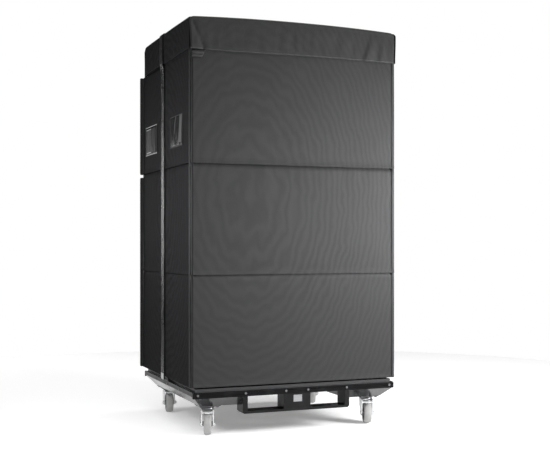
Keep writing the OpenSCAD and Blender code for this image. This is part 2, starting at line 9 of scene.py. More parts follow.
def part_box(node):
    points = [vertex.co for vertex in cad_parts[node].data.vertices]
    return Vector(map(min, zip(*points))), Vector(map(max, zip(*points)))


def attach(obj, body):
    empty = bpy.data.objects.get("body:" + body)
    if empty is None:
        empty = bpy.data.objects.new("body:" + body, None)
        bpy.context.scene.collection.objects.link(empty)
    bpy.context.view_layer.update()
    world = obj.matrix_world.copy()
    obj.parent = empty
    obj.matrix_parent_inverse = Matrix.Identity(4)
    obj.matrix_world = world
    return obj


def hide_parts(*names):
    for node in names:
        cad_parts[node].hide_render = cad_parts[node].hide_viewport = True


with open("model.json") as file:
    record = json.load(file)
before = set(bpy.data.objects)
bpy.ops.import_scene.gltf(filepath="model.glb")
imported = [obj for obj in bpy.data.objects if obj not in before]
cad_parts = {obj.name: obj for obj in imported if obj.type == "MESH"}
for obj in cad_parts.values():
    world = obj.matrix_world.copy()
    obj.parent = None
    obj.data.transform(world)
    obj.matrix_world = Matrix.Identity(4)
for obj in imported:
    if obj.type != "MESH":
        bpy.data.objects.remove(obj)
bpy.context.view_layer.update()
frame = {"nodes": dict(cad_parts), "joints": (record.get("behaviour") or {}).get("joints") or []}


# ---------------------------------------------------------------- camera
# A level camera at the height of a person's chest, to the left of the stack and five paces in front of it.
# The horizon crosses the middle cabinet, so the top and the cart both lean away a little.
camera = bpy.data.objects.new("camera", bpy.data.cameras.new("camera"))
camera.location = (-1.8322, -4.7626, 0.8822)
camera.rotation_euler = (math.radians(90), 0, math.radians(-21.728))
camera.data.lens = 65.55
camera.data.sensor_width = 36
camera.data.shift_y = 0.0130
bpy.context.collection.objects.link(camera)
bpy.context.scene.camera = camera
bpy.context.scene.view_settings.view_transform = "Standard"


# ---------------------------------------------------------------- studio
# A round of white paper under a large overhead soft box. One small box in front to the right shades the wide
# face from right to left, one at the left fills the narrow side, and one behind it rims the strap. The paper
# glows a little, as if lit through, and the room behind looks white but gives off only a tenth as much light.
class Tone:
    """A socket of a finish. Sums and products on it add Math nodes, and add() makes any other node."""

    def __init__(self, tree, socket=None):
        self.tree = tree
        self.socket = socket

    def add(self, kind, settings=(), sockets=(), out=0):
        node = self.tree.nodes.new("ShaderNode" + kind)
        for name, value in dict(settings).items():
            setattr(node, name, value)
        for name, value in dict(sockets).items():
            if isinstance(value, Tone):
                self.tree.links.new(value.socket, node.inputs[name])
            else:
                node.inputs[name].default_value = value
        return Tone(self.tree, node.outputs[out])

    def math(self, operation, *values):
        return self.add("Math", {"operation": operation}, enumerate(values))

    def __add__(self, other):
        return self.math("ADD", self, other)

    def __sub__(self, other):
        return self.math("SUBTRACT", self, other)

    def __rsub__(self, other):
        return self.math("SUBTRACT", other, self)

    def __mul__(self, other):
        return self.math("MULTIPLY", self, other)

    def __gt__(self, other):
        return self.math("GREATER_THAN", self, other)

    def __lt__(self, other):
        return self.math("LESS_THAN", self, other)

    __radd__ = __add__
    __rmul__ = __mul__


def finish(name, **fixed):
    """A material, its shader and the start of its nodes. What is the same all over is set on the shader."""
    material = bpy.data.materials.new(name)
    material.use_nodes = True
    shader = material.node_tree.nodes["Principled BSDF"]
    for socket, value in fixed.items():
        shader.inputs[socket.replace("_", " ")].default_value = value
    return material, shader, Tone(material.node_tree)


def feed(shader, socket, tone):
    tone.tree.links.new(tone.socket, shader.inputs[socket])


def mixed(factor, first, second):
    """One colour over the other, by a factor."""
    return factor.add("Mix", {"data_type": "RGBA"}, {0: factor, 6: (*first, 1), 7: (*second, 1)}, 2)


def ranged(tone, low, high, start=0.0, end=1.0):
    """A number carried from one range into another and held there."""
    return tone.add("MapRange", {}, {0: tone, 1: low, 2: high, 3: start, 4: end})


floor_radius = 3.2
floor_mesh = bmesh.new()
bmesh.ops.create_circle(floor_mesh, cap_ends=True, radius=floor_radius, segments=96)
floor_data = bpy.data.meshes.new("floor")
floor_mesh.to_mesh(floor_data)
floor = bpy.data.objects.new("floor", floor_data)
bpy.context.collection.objects.link(floor)
paper, paper_shader, _ = finish("floor_paper", Base_Color=(0.93, 0.93, 0.93, 1), Roughness=0.75)
paper_shader.inputs["Specular IOR Level"].default_value = 0.2
paper_shader.inputs["Emission Color"].default_value = (1, 1, 1, 1)
paper_shader.inputs["Emission Strength"].default_value = 0.25
floor_data.materials.append(paper)

world = bpy.data.worlds.new("studio")
bpy.context.scene.world = world
world.use_nodes = True
sky = Tone(world.node_tree)
seen = sky.add("LightPath")
ground = world.node_tree.nodes["Background"]
ground.inputs["Color"].default_value = (1, 1, 1, 1)
room_light = 0.10
world.node_tree.links.new(ranged(seen, 0, 1, room_light, 1.0).socket, ground.inputs["Strength"])


def soft_box(name, place, target, width, height, power):
    light = bpy.data.objects.new(name, bpy.data.lights.new(name, "AREA"))
    light.data.shape = "RECTANGLE"
    light.data.size = width
    light.data.size_y = height
    light.data.energy = power
    light.location = place
    light.rotation_euler = (Vector(target) - Vector(place)).to_track_quat("-Z", "Y").to_euler()
    light.visible_camera = False
    bpy.context.collection.objects.link(light)


soft_box("overhead", (0.8, -1.0, 4.6), (0.8, -1.0, 0), 8.0, 8.0, 325)
soft_box("front_right", (1.65, -1.6, 1.12), (0.3, -0.4, 1.1), 0.8, 0.8, 82)
soft_box("left", (-1.4, -0.46, 1.1), (-0.5, -0.2, 1.1), 0.5, 0.5, 14)
soft_box("behind_left", (-1.8, 4.2, 1.25), (-0.5, 0, 1.1), 1.0, 0.9, 25)


# ---------------------------------------------------------------- cover cloth
# The cover is sewn from ballistic polyester, a coarse plain weave over thin foam. It is coated and slightly
# glossy on the wide faces and almost matt on the narrow ones. Each hem has two rows of stitches, and faint
# rings like watered silk run through the weave.
cloth_black = (0.0125, 0.0125, 0.0133)
face_gloss = 0.34
side_gloss = 0.003
seams = [0.7355, 1.2435]
hem_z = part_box("cover_front")[0].z
half_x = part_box("cover_left")[0].x * -1
half_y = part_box("cover_front")[0].y * -1
lid_lo, lid_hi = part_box("cover_lid")
shoulder = lid_lo.z


def cloth_finish(name, colour, rows=(), gloss=face_gloss):
    """Woven cloth. rows are heights at which a row of stitches runs round the cover."""
    material, shader, start = finish(name, Specular_IOR_Level=gloss)
    place = start.add("TexCoord", out=3)
    axes = [start.add("SeparateXYZ", {}, {0: place}, k) for k in range(3)]
    along = axes[0] + axes[1]
    yarn_pitch = 0.0014
    yarn = 2 * math.pi / yarn_pitch
    weft = (axes[2] * yarn).math("SINE", axes[2] * yarn)
    warp = (along * yarn).math("SINE", along * yarn)
    over = (weft * warp) > 0
    weave = over * weft.math("ABSOLUTE", warp) + (1 - over) * weft.math("ABSOLUTE", weft)
    cloud = start.add("TexNoise", {}, {"Vector": place, "Scale": 3.0, "Detail": 3.0, "Roughness": 0.6})
    slub = start.add("TexNoise", {}, {"Vector": place, "Scale": 260.0, "Detail": 2.0})
    moved = start.add("VectorMath", {"operation": "ADD"}, {0: place, 1: (0.24, 0, -1.1)})
    bent = start.add("VectorMath", {"operation": "MULTIPLY"}, {0: moved, 1: (1, 1, 0.6)})
    water = start.add(
        "TexWave",
        {"wave_type": "RINGS", "rings_direction": "SPHERICAL"},
        {"Vector": bent, "Scale": 15.0, "Distortion": 5.0, "Detail": 1.0, "Detail Scale": 1.1},
    )
    shade = 0.69 + 0.18 * cloud + 0.12 * weave + 0.12 * slub + 0.26 * water
    rough = 0.53 + 0.08 * cloud - 0.05 * water
    height = weave * 0.7 + slub * 0.3
    if rows:
        thread = start.math("COMPARE", axes[2], rows[0], 0.0007)
        for row in rows[1:]:
            thread = thread + start.math("COMPARE", axes[2], row, 0.0007)
        dash = start.math("PINGPONG", along, 0.0032) > 0.0011
        thread = thread * dash
        shade = shade + thread * 0.5
        height = height + thread * 1.4
        # Painted shadow: a dark line just under each seam, where the upper hem laps over the panel below.
        for seam in seams:
            shade = shade - 0.75 * start.math("COMPARE", axes[2], seam - 0.0008, 0.0017)
    base = mixed(ranged(shade, 0, 1.4), (0, 0, 0), tuple(1.4 * c for c in colour))
    feed(shader, "Base Color", base)
    feed(shader, "Roughness", rough)
    bump = start.add("Bump", {}, {"Strength": 0.55, "Distance": 0.0004, "Height": height})
    feed(shader, "Normal", bump)
    return material


stitch_rows = [hem_z + 0.008, hem_z + 0.024]
for seam in seams:
    stitch_rows += [seam + 0.006, seam + 0.014]
cover_cloth = cloth_finish("cover_cloth", cloth_black, stitch_rows)
side_cloth = cloth_finish("cover_side_cloth", cloth_black, stitch_rows, side_gloss)


def add_piece(name, bm, body, material, replaces=(), smooth=True):
    """A finished piece of the object, from its mesh."""
    data = bpy.data.meshes.new(name)
    for face in bm.faces:
        face.smooth = smooth
    crisp = math.radians(38)
    for edge in bm.edges:
        edge.smooth = edge.calc_face_angle(0.0) < crisp
    bm.to_mesh(data)
    bm.free()
    data.materials.append(material)
    piece = bpy.data.objects.new(name, data)
    bpy.context.collection.objects.link(piece)
    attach(piece, body)
    if replaces:
        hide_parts(*replaces)
    return piece


def thicken(piece, thickness, offset=-1):
    wall = piece.modifiers.new("thickness", "SOLIDIFY")
    wall.thickness = thickness
    wall.offset = offset
    wall.use_even_offset = False
    return piece


def upright(bm, turn, out, shift=0.0):
    """Stands a flat mesh up against one side of the stack: its y becomes height, its z faces outwards."""
    raised = Matrix.Rotation(math.pi / 2, 4, "X")
    stand = Matrix.Rotation(turn, 4, "Z") @ Matrix.Translation((shift, -out, 0)) @ raised
    bmesh.ops.transform(bm, matrix=stand, verts=bm.verts)


def smoothed(t):
    t = min(max(t, 0.0), 1.0)
    return t * t * (3 - 2 * t)


def ripple(s, z, seed, size):
    """Small unevenness of a sewn and handled cloth, from -1 to 1."""
    return noise.noise(Vector((s / size, z / size, seed)))


def panel_relief(s, z, half, seed, top):
    """How far the cloth of a wall stands out, with pillows between seams and a step at each hem."""
    levels = [hem_z, *seams, top]
    band = max(k for k in range(len(levels) - 1) if z >= levels[k] - 1e-6 or k == 0)
    low, high = levels[band], levels[band + 1]
    t = min(max((z - low) / (high - low), 0.0), 1.0)
    across = max(0.0, 1 - (s / half) ** 2)
    pillow = 0.0030 * math.sqrt(4 * t * (1 - t) + 0.02) * (0.35 + 0.65 * across)
    below = high - z
    if band < len(levels) - 2:
        tuck = -0.0045 * (1 - smoothed(below / 0.016))
    else:
        tuck = 0.0
    lip = 0.0022 * (1 - smoothed((z - low) / 0.022))
    pull = 0.0011 * ripple(s, z * 0.35, seed, 0.055) * (1 - smoothed(below / 0.16))
    handled = 0.0016 * ripple(s, z, seed + 7, 0.42) + 0.0005 * ripple(s, z, seed + 3, 0.11)
    return pillow + tuck + lip + pull + handled


def wall_sheet(half, z0, z1, relief, fold=0.006, cell=0.010):
    """A hemmed wall panel that lies flat, with its vertical edges rolled back by fold."""
    bm = bmesh.new()
    columns = round(2 * half / cell)
    rows = round((z1 - z0) / cell)
    bmesh.ops.create_grid(bm, x_segments=columns, y_segments=rows, size=0.5)
    bmesh.ops.scale(bm, vec=(2 * half, z1 - z0, 1), verts=bm.verts)
    bmesh.ops.translate(bm, vec=(0, (z0 + z1) / 2, 0), verts=bm.verts)
    cuts = [z + step for z in seams if z0 < z < z1 for step in (0.0020, 0.0, -0.0004, -0.0040)]
    cuts += [z0 + 0.002]
    for z in cuts:
        whole = bm.verts[:] + bm.edges[:] + bm.faces[:]
        bmesh.ops.bisect_plane(bm, geom=whole, dist=1e-5, plane_co=(0, z, 0), plane_no=(0, 1, 0))
    for side in (-1, 1):
        for back in (fold, 0.55 * fold, 0.2 * fold):
            whole = bm.verts[:] + bm.edges[:] + bm.faces[:]
            place = (side * (half - back), 0, 0)
            bmesh.ops.bisect_plane(bm, geom=whole, dist=1e-5, plane_co=place, plane_no=(1, 0, 0))
    for vert in bm.verts:
        s, z = vert.co.x, vert.co.y
        rolled = max(0.0, abs(s) - (half - fold)) / fold
        vert.co.z = relief(s, z) - fold * (1 - math.sqrt(max(0.0, 1 - rolled * rolled)))
    sides = [e for e in bm.edges if e.is_boundary and min(abs(v.co.x) for v in e.verts) > half - 1e-5]
    made = bmesh.ops.extrude_edge_only(bm, edges=sides)["geom"]
    back = [v for v in made if isinstance(v, bmesh.types.BMVert)]
    bmesh.ops.translate(bm, vec=(0, 0, -0.012), verts=back)
    bmesh.ops.recalc_face_normals(bm, faces=bm.faces)
    if sum(face.normal.z for face in bm.faces) < 0:
        bmesh.ops.reverse_faces(bm, faces=bm.faces)
    return bm


# ---------------------------------------------------------------- front wall
# The wide front wall is one skirt of three quilted panels. Each upper hem laps over the panel below it. The
# upright edges are eased outwards to the corners, further on the right, where they cover the end of the side.
top_z = lid_hi.z - 0.010
front_half = half_x - 0.0105
ease_right = 0.0175
ease_left = 0.0105


def front_relief(s, z):
    crease = 0.0016 * ripple(s, 0.2 * z, 21, 0.026) * smoothed((z - 1.58) / 0.17)
    crease *= smoothed((abs(s + 0.05) - 0.22) / 0.22)
    return panel_relief(s, z, front_half, 1, top_z) + crease


front_flat = wall_sheet(front_half, hem_z, top_z, front_relief, cell=0.009)
for vert in front_flat.verts:
    to_right = smoothed((vert.co.x - 0.30) / 0.19)
    to_left = smoothed((-vert.co.x - 0.30) / 0.19)
    vert.co.x += ease_right * to_right - ease_left * to_left
upright(front_flat, 0, half_y)
front_wall = add_piece("front_wall_cloth", front_flat, "cover", cover_cloth, ["cover_front"])
thicken(front_wall, 0.004)


# ---------------------------------------------------------------- side walls
# Each side wall is a front and a rear panel that meet in a slit under the strap. The slit is closed from
# inside by a strip of lining. Above the shoulder the rear panel ends where the lid ends.
strap_lo, strap_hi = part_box("lid_strap")
slit_y = strap_lo.y - 0.007
slit_half = 0.0045
lid_rear = lid_hi.y
side_front = -half_y + 0.0035
side_rear = half_y - 0.0035
black_lining = cloth_finish("lining", (0.012, 0.012, 0.013))


def side_panel(name, turn, y0, y1, z1, seed, replaced=()):
    """A panel of a side wall, from y0 to y1; the wall's own s runs towards the front on the left."""
    half = (y1 - y0) / 2
    middle = (y0 + y1) / 2
    facing = 1 if turn > 0 else -1

    def relief(s, z):
        return panel_relief(s, z, half, seed, top_z)

    flat = wall_sheet(half, hem_z, z1, relief)
    upright(flat, turn, half_x, facing * middle)
    panel = add_piece(name, flat, "cover", side_cloth, replaced)
    thicken(panel, 0.004)


def side_lining(name, side):
    """The strip of lining behind the slit, and the two that close the corners."""
    bm = bmesh.new()
    depth = half_x - 0.0085
    for y, width in ((slit_y, 0.040), (side_front + 0.008, 0.030), (side_rear - 0.008, 0.030)):
        end = top_z if y < lid_rear else shoulder - 0.004
        strip = bmesh.ops.create_cube(bm, size=1)["verts"]
        bmesh.ops.scale(bm, vec=(0.0012, width, end - hem_z - 0.004), verts=strip)
        bmesh.ops.translate(bm, vec=(side * depth, y, (end + hem_z) / 2), verts=strip)
    add_piece(name, bm, "cover", black_lining, smooth=False)


for side, word, turn in ((-1, "left", -math.pi / 2), (1, "right", math.pi / 2)):
    walled = [f"cover_{word}"]
    side_panel(f"{word}_wall_front_cloth", turn, side_front, slit_y - slit_half, top_z, 31 + side, walled)
    side_panel(f"{word}_wall_rear_cloth", turn, slit_y + slit_half, side_rear, shoulder - 0.002, 41 + side)
    yoke_half = (lid_rear - 0.012 - slit_y - slit_half) / 2
    yoke_mid = slit_y + slit_half + yoke_half
    yoke = wall_sheet(yoke_half, shoulder - 0.0015, top_z, lambda s, z: 0.001 * ripple(s, z, 5, 0.3))
    upright(yoke, turn, half_x, side * yoke_mid)
    yoke_piece = add_piece(f"{word}_yoke_cloth", yoke, "cover", side_cloth)
    thicken(yoke_piece, 0.004)
    side_lining(f"{word}_lining", side)


# ---------------------------------------------------------------- rear wall and closure flaps
# The rear wall hangs in one piece up to the shoulder, where it steps in under the lid. Two stiff flaps lie
# over it and lap past the corners, with a gap between them at the height of the upper seam.
rear_cut = half_x - 0.006
rear_flat = wall_sheet(rear_cut, hem_z, shoulder, lambda s, z: panel_relief(s, z, rear_cut, 55, shoulder))
upright(rear_flat, math.pi, half_y)
rear_wall = add_piece("rear_wall_cloth", rear_flat, "cover", cover_cloth, ["cover_rear"])
thicken(rear_wall, 0.004)

step_mesh = bmesh.new()
step_path = [
    (half_y - 0.002, shoulder - 0.001),
    (lid_rear + 0.004, shoulder),
    (lid_rear - 0.012, shoulder + 0.002),
    (lid_rear - 0.013, shoulder + 0.010),
    (lid_rear - 0.013, top_z),
]
step_verts = [step_mesh.verts.new((-half_x + 0.006, y, z)) for y, z in step_path]
for one, two in zip(step_verts, step_verts[1:]):
    step_mesh.edges.new((one, two))
for _ in range(40):
    open_edges = [e for e in step_mesh.edges if all(v in step_verts for v in e.verts)]
    grown = bmesh.ops.extrude_edge_only(step_mesh, edges=open_edges)["geom"]
    step_verts = [v for v in grown if isinstance(v, bmesh.types.BMVert)]
    bmesh.ops.translate(step_mesh, vec=((2 * half_x - 0.012) / 40, 0, 0), verts=step_verts)
bmesh.ops.recalc_face_normals(step_mesh, faces=step_mesh.faces)
if sum(face.normal.z for face in step_mesh.faces) < 0:
    bmesh.ops.reverse_faces(step_mesh, faces=step_mesh.faces)
shoulder_step = add_piece("shoulder_cloth", step_mesh, "cover", cover_cloth)
thicken(shoulder_step, 0.003)

closure_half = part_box("cover_rear")[1].x
closure_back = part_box("cover_rear")[1].y
closure_z = [(hem_z, seams[1] - 0.0165), (seams[1] - 0.0025, shoulder)]


def closure_flap(name, z0, z1, seed):
    """A stiff flap with rounded corners that lies over the rear wall."""
    bm = bmesh.new()
    columns, rows = 104, round((z1 - z0) / 0.011)
    bmesh.ops.create_grid(bm, x_segments=columns, y_segments=rows, size=0.5)
    mid_z = (z0 + z1) / 2
    half_z = (z1 - z0) / 2
    bmesh.ops.scale(bm, vec=(2 * closure_half, z1 - z0, 1), verts=bm.verts)
    bmesh.ops.translate(bm, vec=(0, mid_z, 0), verts=bm.verts)
    rim_cuts = [((0, z0 + 0.003, 0), (0, 1, 0)), ((0, z1 - 0.003, 0), (0, 1, 0))]
    rim_cuts += [((-closure_half + 0.003, 0, 0), (1, 0, 0)), ((closure_half - 0.003, 0, 0), (1, 0, 0))]
    for place, across in rim_cuts:
        whole = bm.verts[:] + bm.edges[:] + bm.faces[:]
        bmesh.ops.bisect_plane(bm, geom=whole, dist=1e-5, plane_co=place, plane_no=across)
    corner = 0.007
    for vert in bm.verts:
        s, z = vert.co.x, vert.co.y
        in_x = max(0.0, abs(s) - (closure_half - corner)) / corner
        in_z = max(0.0, abs(z - mid_z) - (half_z - corner)) / corner
        away = math.hypot(in_x, in_z)
        if in_x and in_z:
            reach = max(in_x, in_z) / away
            vert.co.x = math.copysign(closure_half - corner + corner * in_x * reach, s)
            vert.co.y = mid_z + math.copysign(half_z - corner + corner * in_z * reach, z - mid_z)
        edge = min(closure_half - abs(s), z - z0, z1 - z)
        rim = -0.0015 * (1 - smoothed(edge / 0.004)) - 0.0008 * (1 - smoothed(abs(edge - 0.028) / 0.003))
        vert.co.z = rim + 0.0012 * ripple(s, z, seed, 0.35) + 0.0005 * ripple(s, z, seed + 2, 0.09)
    upright(bm, math.pi, closure_back - 0.0025)
    flap = add_piece(name, bm, "cover", cover_cloth)
    thicken(flap, 0.005)


closure_flap("lower_closure_flap", *closure_z[0], 61)
closure_flap("upper_closure_flap", *closure_z[1], 64)


# ---------------------------------------------------------------- corner piping
# A round welt is sewn into each upright edge of the cover. It is a covered cord six millimetres thick that
# catches a line of light. The front pair stands proud of the corner, the rear pair lies in it.
welt_radius = 0.0030
front_welt_proud = 0.005


def welt(name, x, y, z0, z1, material):
    bm = bmesh.new()
    bmesh.ops.create_circle(bm, cap_ends=False, radius=welt_radius, segments=12)
    bmesh.ops.translate(bm, vec=(x, y, z0), verts=bm.verts)
    loop = bm.edges[:]
    steps = 60
    for k in range(steps):
        grown = bmesh.ops.extrude_edge_only(bm, edges=loop)["geom"]
        loop = [e for e in grown if isinstance(e, bmesh.types.BMEdge)]
        ring = [v for v in grown if isinstance(v, bmesh.types.BMVert)]
        lean = 0.0006 * (ripple(z0 + k * 0.03, 0, x * 9, 0.2) - ripple(z0 + (k - 1) * 0.03, 0, x * 9, 0.2))
        bmesh.ops.translate(bm, vec=(0, lean, (z1 - z0) / steps), verts=ring)
    bmesh.ops.holes_fill(bm, edges=bm.edges, sides=16)
    bmesh.ops.recalc_face_normals(bm, faces=bm.faces)
    return add_piece(name, bm, "cover", material)


welt_cloth, _, _ = finish("welt_cloth", Base_Color=(0.018, 0.018, 0.019, 1), Roughness=0.55)
for side, word in ((-1, "left"), (1, "right")):
    welt_x = side * (half_x - welt_radius + 0.001)
    front_x = side * (half_x + front_welt_proud)
    welt(f"{word}_front_welt", front_x, -half_y + 0.0070, hem_z + 0.004, top_z, welt_cloth)
    welt(f"{word}_rear_welt", welt_x, half_y - 0.0035, hem_z + 0.004, shoulder - 0.004, welt_cloth)


# ---------------------------------------------------------------- lid
# The lid is a shallow cap: a crowned top with skirts sewn round it. The skirts are open at the corners and at
# the strap, and the wide front one is creased by a corner tuck.
lid_half = lid_hi.x
lid_front = -lid_lo.y
lid_z = lid_hi.z
crown = 0.0125
roll = 0.009
lid_rows = [shoulder + 0.010, shoulder + 0.018]
lid_cloth = cloth_finish("lid_cloth", cloth_black, lid_rows)
lid_side_cloth = cloth_finish("lid_side_cloth", cloth_black, lid_rows, side_gloss)


def corner_drop(u, half, reach=0.024, depth=0.012):
    q = min(max(0.0, abs(u) - (half - reach)) / reach, 1.0)
    return depth * (1 - math.sqrt(1 - q * q * 0.98))


def front_edge(u):
    return lid_z + crown * (1 - abs(u / lid_half) ** 2.2) - corner_drop(u, lid_half)


def side_edge(y):
    return lid_z + 0.003 * (1 - (y / lid_front) ** 2)


def skirt(name, turn, half, shift, out, edge, hem, relief, ends=(True, True)):
    """One side of the lid: it hangs from the rolled edge, and its open ends splay a little."""
    bm = bmesh.new()
    bmesh.ops.create_grid(bm, x_segments=round(2 * half / 0.009), y_segments=26, size=0.5)
    for vert in bm.verts:
        u, t = vert.co.x * 2 * half, vert.co.y + 0.5
        low = hem(u)
        rise = edge(u) - low - roll
        way = t * (rise + roll * math.pi / 2 + 0.018)
        if way < rise:
            z, back = low + way, 0.0
        elif way < rise + roll * math.pi / 2:
            bend = (way - rise) / roll
            z, back = low + rise + roll * math.sin(bend), roll * (1 - math.cos(bend))
        else:
            z, back = low + rise + roll, roll + way - rise - roll * math.pi / 2
        near = (u < 0 and ends[0]) or (u > 0 and ends[1])
        narrow = (0.0012 + 0.0030 * smoothed((lid_z - 0.03 - z) / 0.09)) * near * abs(u) / half
        narrow += 0.0085 * (not shift and turn == 0) * smoothed((u - 0.3) / 0.2)
        vert.co = (u - math.copysign(narrow, u), z, relief(u, z) * (1 - smoothed(back / roll)) - back)
    bmesh.ops.recalc_face_normals(bm, faces=bm.faces)
    if sum(face.normal.z for face in bm.faces) < 0:
        bmesh.ops.reverse_faces(bm, faces=bm.faces)
    upright(bm, turn, out, shift)
    piece = add_piece(name, bm, "lid", lid_side_cloth if shift else lid_cloth)
    thicken(piece, 0.0035)
    2 * half
    return piece


def front_hem(u):
    return shoulder + 0.0015 + 0.0020 * math.sin(7 * u + 0.6) + 0.0010 * ripple(u, 0, 4, 0.05)


def front_skirt_relief(u, z):
    """The tuck at the left corner, a crease near the right one and shallow folds between."""
    down = (lid_z - z) / (lid_z - shoulder)
    tuck_line = -lid_half + 0.004 + 0.062 * down
    tuck = 0.12 * max(0.0, tuck_line - u) - 0.0045 * math.exp(-(((u - tuck_line) / 0.0065) ** 2))
    crease_line = 0.392 - 0.045 * down
    crease = 0.0050 * smoothed((u - crease_line) / 0.012) - 0.0034 * smoothed((u - crease_line - 0.02) / 0.05)
    crease += 0.0020 * math.exp(-(((u - 0.47 + 0.02 * down) / 0.012) ** 2))
    folds = 0.0026 * ripple(u, 0.25 * z, 12, 0.034) * smoothed(down * 1.6)
    band = -0.0008 * math.exp(-(((z - front_edge(u) + 0.022) / 0.004) ** 2))
    return tuck + crease * smoothed(down * 1.3) + folds + band + 0.0018 * ripple(u, z, 9, 0.25)


def plain_relief(u, z):
    folds = 0.0018 * ripple(u, 0.3 * z, 15, 0.045) * smoothed((lid_z - z) / 0.1)
    return folds + 0.0012 * ripple(u, z, 17, 0.2)


front_skirt = skirt("lid_front_skirt", 0, lid_half, 0, lid_front, front_edge, front_hem, front_skirt_relief)
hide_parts("cover_lid")
skirt(
    "lid_rear_skirt",
    math.pi,
    lid_half,
    0,
    lid_rear,
    lambda u: front_edge(u) - 0.006,
    lambda u: shoulder + 0.002,
    plain_relief,
)
for side, word, turn in ((-1, "left", -math.pi / 2), (1, "right", math.pi / 2)):
    halves = [("front", -lid_front + 0.001, slit_y - 0.003), ("rear", slit_y + 0.003, lid_rear - 0.001)]
    for part, y0, y1 in halves:
        middle = (y0 + y1) / 2

        def edge_here(u, side=side, middle=middle):
            y = middle + side * u
            reach = 0.034 if y > 0 else 0.024
            span = min(lid_front + y, lid_rear - y)
            q = min(max(0.0, reach - span) / reach, 1.0)
            return side_edge(y) - 0.018 * (1 - math.sqrt(1 - 0.98 * q * q)) * (1.4 if y > 0 else 0.7)

        def hem_here(u, side=side, middle=middle):
            y = middle + side * u
            return shoulder + 0.002 + 0.0015 * math.sin(9 * u) - 0.010 * smoothed((y - 0.31) / 0.05)

        half = (y1 - y0) / 2
        shift = side * middle
        skirt(f"lid_{word}_{part}_skirt", turn, half, shift, lid_half, edge_here, hem_here, plain_relief)

top_mesh = bmesh.new()
bmesh.ops.create_grid(top_mesh, x_segments=96, y_segments=76, size=0.5)
top_w, top_d = 2 * lid_half - 0.030, lid_front + lid_rear - 0.030
top_mid = (lid_rear - lid_front) / 2
for vert in top_mesh.verts:
    x, y = vert.co.x * top_w, vert.co.y * top_d + top_mid
    fore = smoothed((lid_rear - y) / (lid_front + lid_rear))
    bow = crown * (1 - abs(x / lid_half) ** 2.2) * (0.5 + 0.5 * fore)
    bow += 0.003 * (1 - (y / lid_front) ** 2) + 0.0016
    edge = min(top_w / 2 - abs(x), lid_rear - 0.015 - y, y + lid_front - 0.015)
    seam = -0.0012 * (1 - smoothed(edge / 0.004))
    vert.co = (x, y, lid_z + bow + seam + 0.0016 * ripple(x, y, 71, 0.16) + 0.0006 * ripple(x, y, 73, 0.05))
lid_top_piece = add_piece("lid_top_cloth", top_mesh, "lid", lid_cloth)
thicken(lid_top_piece, 0.0035)


# ---------------------------------------------------------------- corner tuck
# Below the front skirt's left end the spare cloth of the wall is folded into a small tab and sewn down.
tuck_mesh = bmesh.new()
bmesh.ops.create_grid(tuck_mesh, x_segments=30, y_segments=16, size=0.5)
tuck_w, tuck_h = 0.064, 0.036
for vert in tuck_mesh.verts:
    u, v = vert.co.x + 0.5, vert.co.y + 0.5
    round_end = 1 - 0.85 * smoothed((u - 0.72) / 0.28)
    high = tuck_h * (v * round_end + (1 - round_end))
    fold = 0.0050 * math.exp(-(((v - 0.45) / 0.12) ** 2)) * (1 - smoothed((u - 0.5) / 0.4))
    puff = 0.0150 * math.sqrt(max(0.0, 4 * v * (1 - v))) * (1 - 0.6 * u * u)
    vert.co = (-front_half - 0.008 + tuck_w * u, shoulder - 0.001 - tuck_h + high, puff - fold)
upright(tuck_mesh, 0, half_y + 0.0012)
tuck_tab = add_piece("corner_tuck_tab", tuck_mesh, "cover", cover_cloth)
thicken(tuck_tab, 0.0025)


# ---------------------------------------------------------------- lid strap
# One long strap of nylon webbing runs over the lid and down both sides to the anchors on the cart. Its ends
# are folded round a flat steel hook and sewn down.
strap_mid = (strap_lo.y + strap_hi.y) / 2
strap_wide = strap_hi.y - strap_lo.y - 0.001
webbing, webbing_shader, start = finish("webbing", Specular_IOR_Level=0.09)
place = start.add("TexCoord", out=3)
ways = [start.add("SeparateXYZ", {}, {0: place}, k) for k in range(3)]
rib = (ways[2] * (2 * math.pi / 0.0032)).math("SINE", ways[2] * (2 * math.pi / 0.0032))
cord_rows = start.math("PINGPONG", ways[1] - strap_mid, 0.0012) * (1 / 0.0012)
weave = 0.5 + 0.5 * rib * ranged(cord_rows, 0, 1, -1, 1)
across = ways[1] - strap_mid
edge_thread = start.math("COMPARE", across.math("ABSOLUTE", across), 0.0215, 0.0009)
stain = start.add("TexNoise", {}, {"Vector": place, "Scale": 7.0, "Detail": 4.0})
fade = 0.35 * weave + 0.4 * stain + 0.5 * edge_thread
feed(webbing_shader, "Base Color", mixed(fade, (0.005, 0.005, 0.005), (0.020, 0.020, 0.020)))
feed(webbing_shader, "Roughness", 0.23 + 0.08 * stain)
bump = start.add("Bump", {}, {"Strength": 0.5, "Distance": 0.0006, "Height": weave + 0.3 * edge_thread})
feed(webbing_shader, "Normal", bump)

strap_out = half_x + 0.0040
strap_path = [(strap_out, strap_lo.z + 0.004), (strap_out + 0.0005, strap_lo.z + 0.020)]
strap_path += [(strap_out + 0.0008 * math.sin(k * 1.1), strap_lo.z + 0.03 + k * 0.04) for k in range(37)]
strap_path += [(strap_out + 0.001, shoulder - 0.030), (strap_out + 0.004, shoulder - 0.012)]
strap_path += [(lid_half + 0.0022, shoulder + 0.004), (lid_half + 0.0030, shoulder + 0.03)]
strap_path += [(lid_half + 0.0030, lid_z - 0.05), (lid_half + 0.0026, lid_z - roll)]
turn_radius = roll + 0.0024
for k in range(1, 7):
    bend = k * math.pi / 12
    out = lid_half - roll + turn_radius * math.cos(bend)
    strap_path.append((out, lid_z - roll + 0.003 + turn_radius * math.sin(bend)))
for x in (0.49, 0.44, 0.36, 0.26, 0.15, 0.0):
    strap_path.append((x, lid_z + 0.0080 + crown * 0.9 * (1 - (x / lid_half) ** 2.2)))
mirrored = [(-x, z) for x, z in reversed(strap_path[:-1])]
strap_mesh = bmesh.new()
